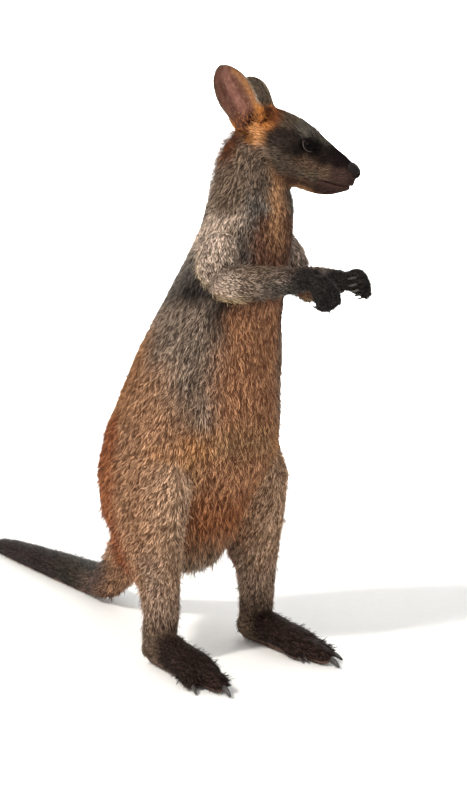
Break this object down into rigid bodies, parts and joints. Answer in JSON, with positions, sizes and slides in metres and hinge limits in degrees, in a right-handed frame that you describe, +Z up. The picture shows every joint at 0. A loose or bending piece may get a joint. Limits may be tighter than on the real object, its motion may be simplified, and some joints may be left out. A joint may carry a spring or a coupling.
{
  "type": "swamp wallaby",
  "caption": "Life-size swamp wallaby standing upright on its hind feet and tail, forepaws held out, head turned to its left; a still model.",
  "frame": {"origin": "middle of the floor under the animal's bounding box", "axes": "+Z up, -Y the way the trunk and feet face, +X the animal's left; the tail runs back along +Y"},
  "size_m": [0.3072, 1.0836, 0.8245],
  "materials": {
    "grey_fur": "grizzled grey fur",
    "brown_fur": "rust-brown fur",
    "dark_fur": "blackish fur",
    "nose": "moist black skin",
    "eye": "wet, near black",
    "claw": "dark horn"
  },
  "bodies": {
    "root": {"belly": "brown_fur", "chest": "grey_fur", "claw_fifth_toe_left": "claw", "claw_fifth_toe_right": "claw", "claw_finger_1_left": "claw", "claw_finger_1_right": "claw", "claw_finger_2_left": "claw", "claw_finger_2_right": "claw", "claw_finger_3_left": "claw", "claw_finger_3_right": "claw", "claw_finger_4_left": "claw", "claw_finger_4_right": "claw", "claw_finger_5_left": "claw", "claw_finger_5_right": "claw", "claw_fourth_toe_left": "claw", "claw_fourth_toe_right": "claw", "claw_second_toe_left": "claw", "claw_second_toe_right": "claw", "claw_third_toe_left": "claw", "claw_third_toe_right": "claw", "ear_left": "dark_fur", "ear_right": "dark_fur", "eye_left": "eye", "eye_right": "eye", "foot_left": "dark_fur", "foot_right": "dark_fur", "forearm_left": "grey_fur", "forearm_right": "grey_fur", "hand_left": "dark_fur", "hand_right": "dark_fur", "head": "grey_fur", "hips": "brown_fur", "lower_jaw": "grey_fur", "neck": "grey_fur", "nose": "nose", "shank_left": "grey_fur", "shank_right": "grey_fur", "tail_root": "brown_fur", "tail_tip": "dark_fur", "thigh_left": "brown_fur", "thigh_right": "brown_fur", "upper_arm_left": "grey_fur", "upper_arm_right": "grey_fur"}
  },
  "joints": []
}
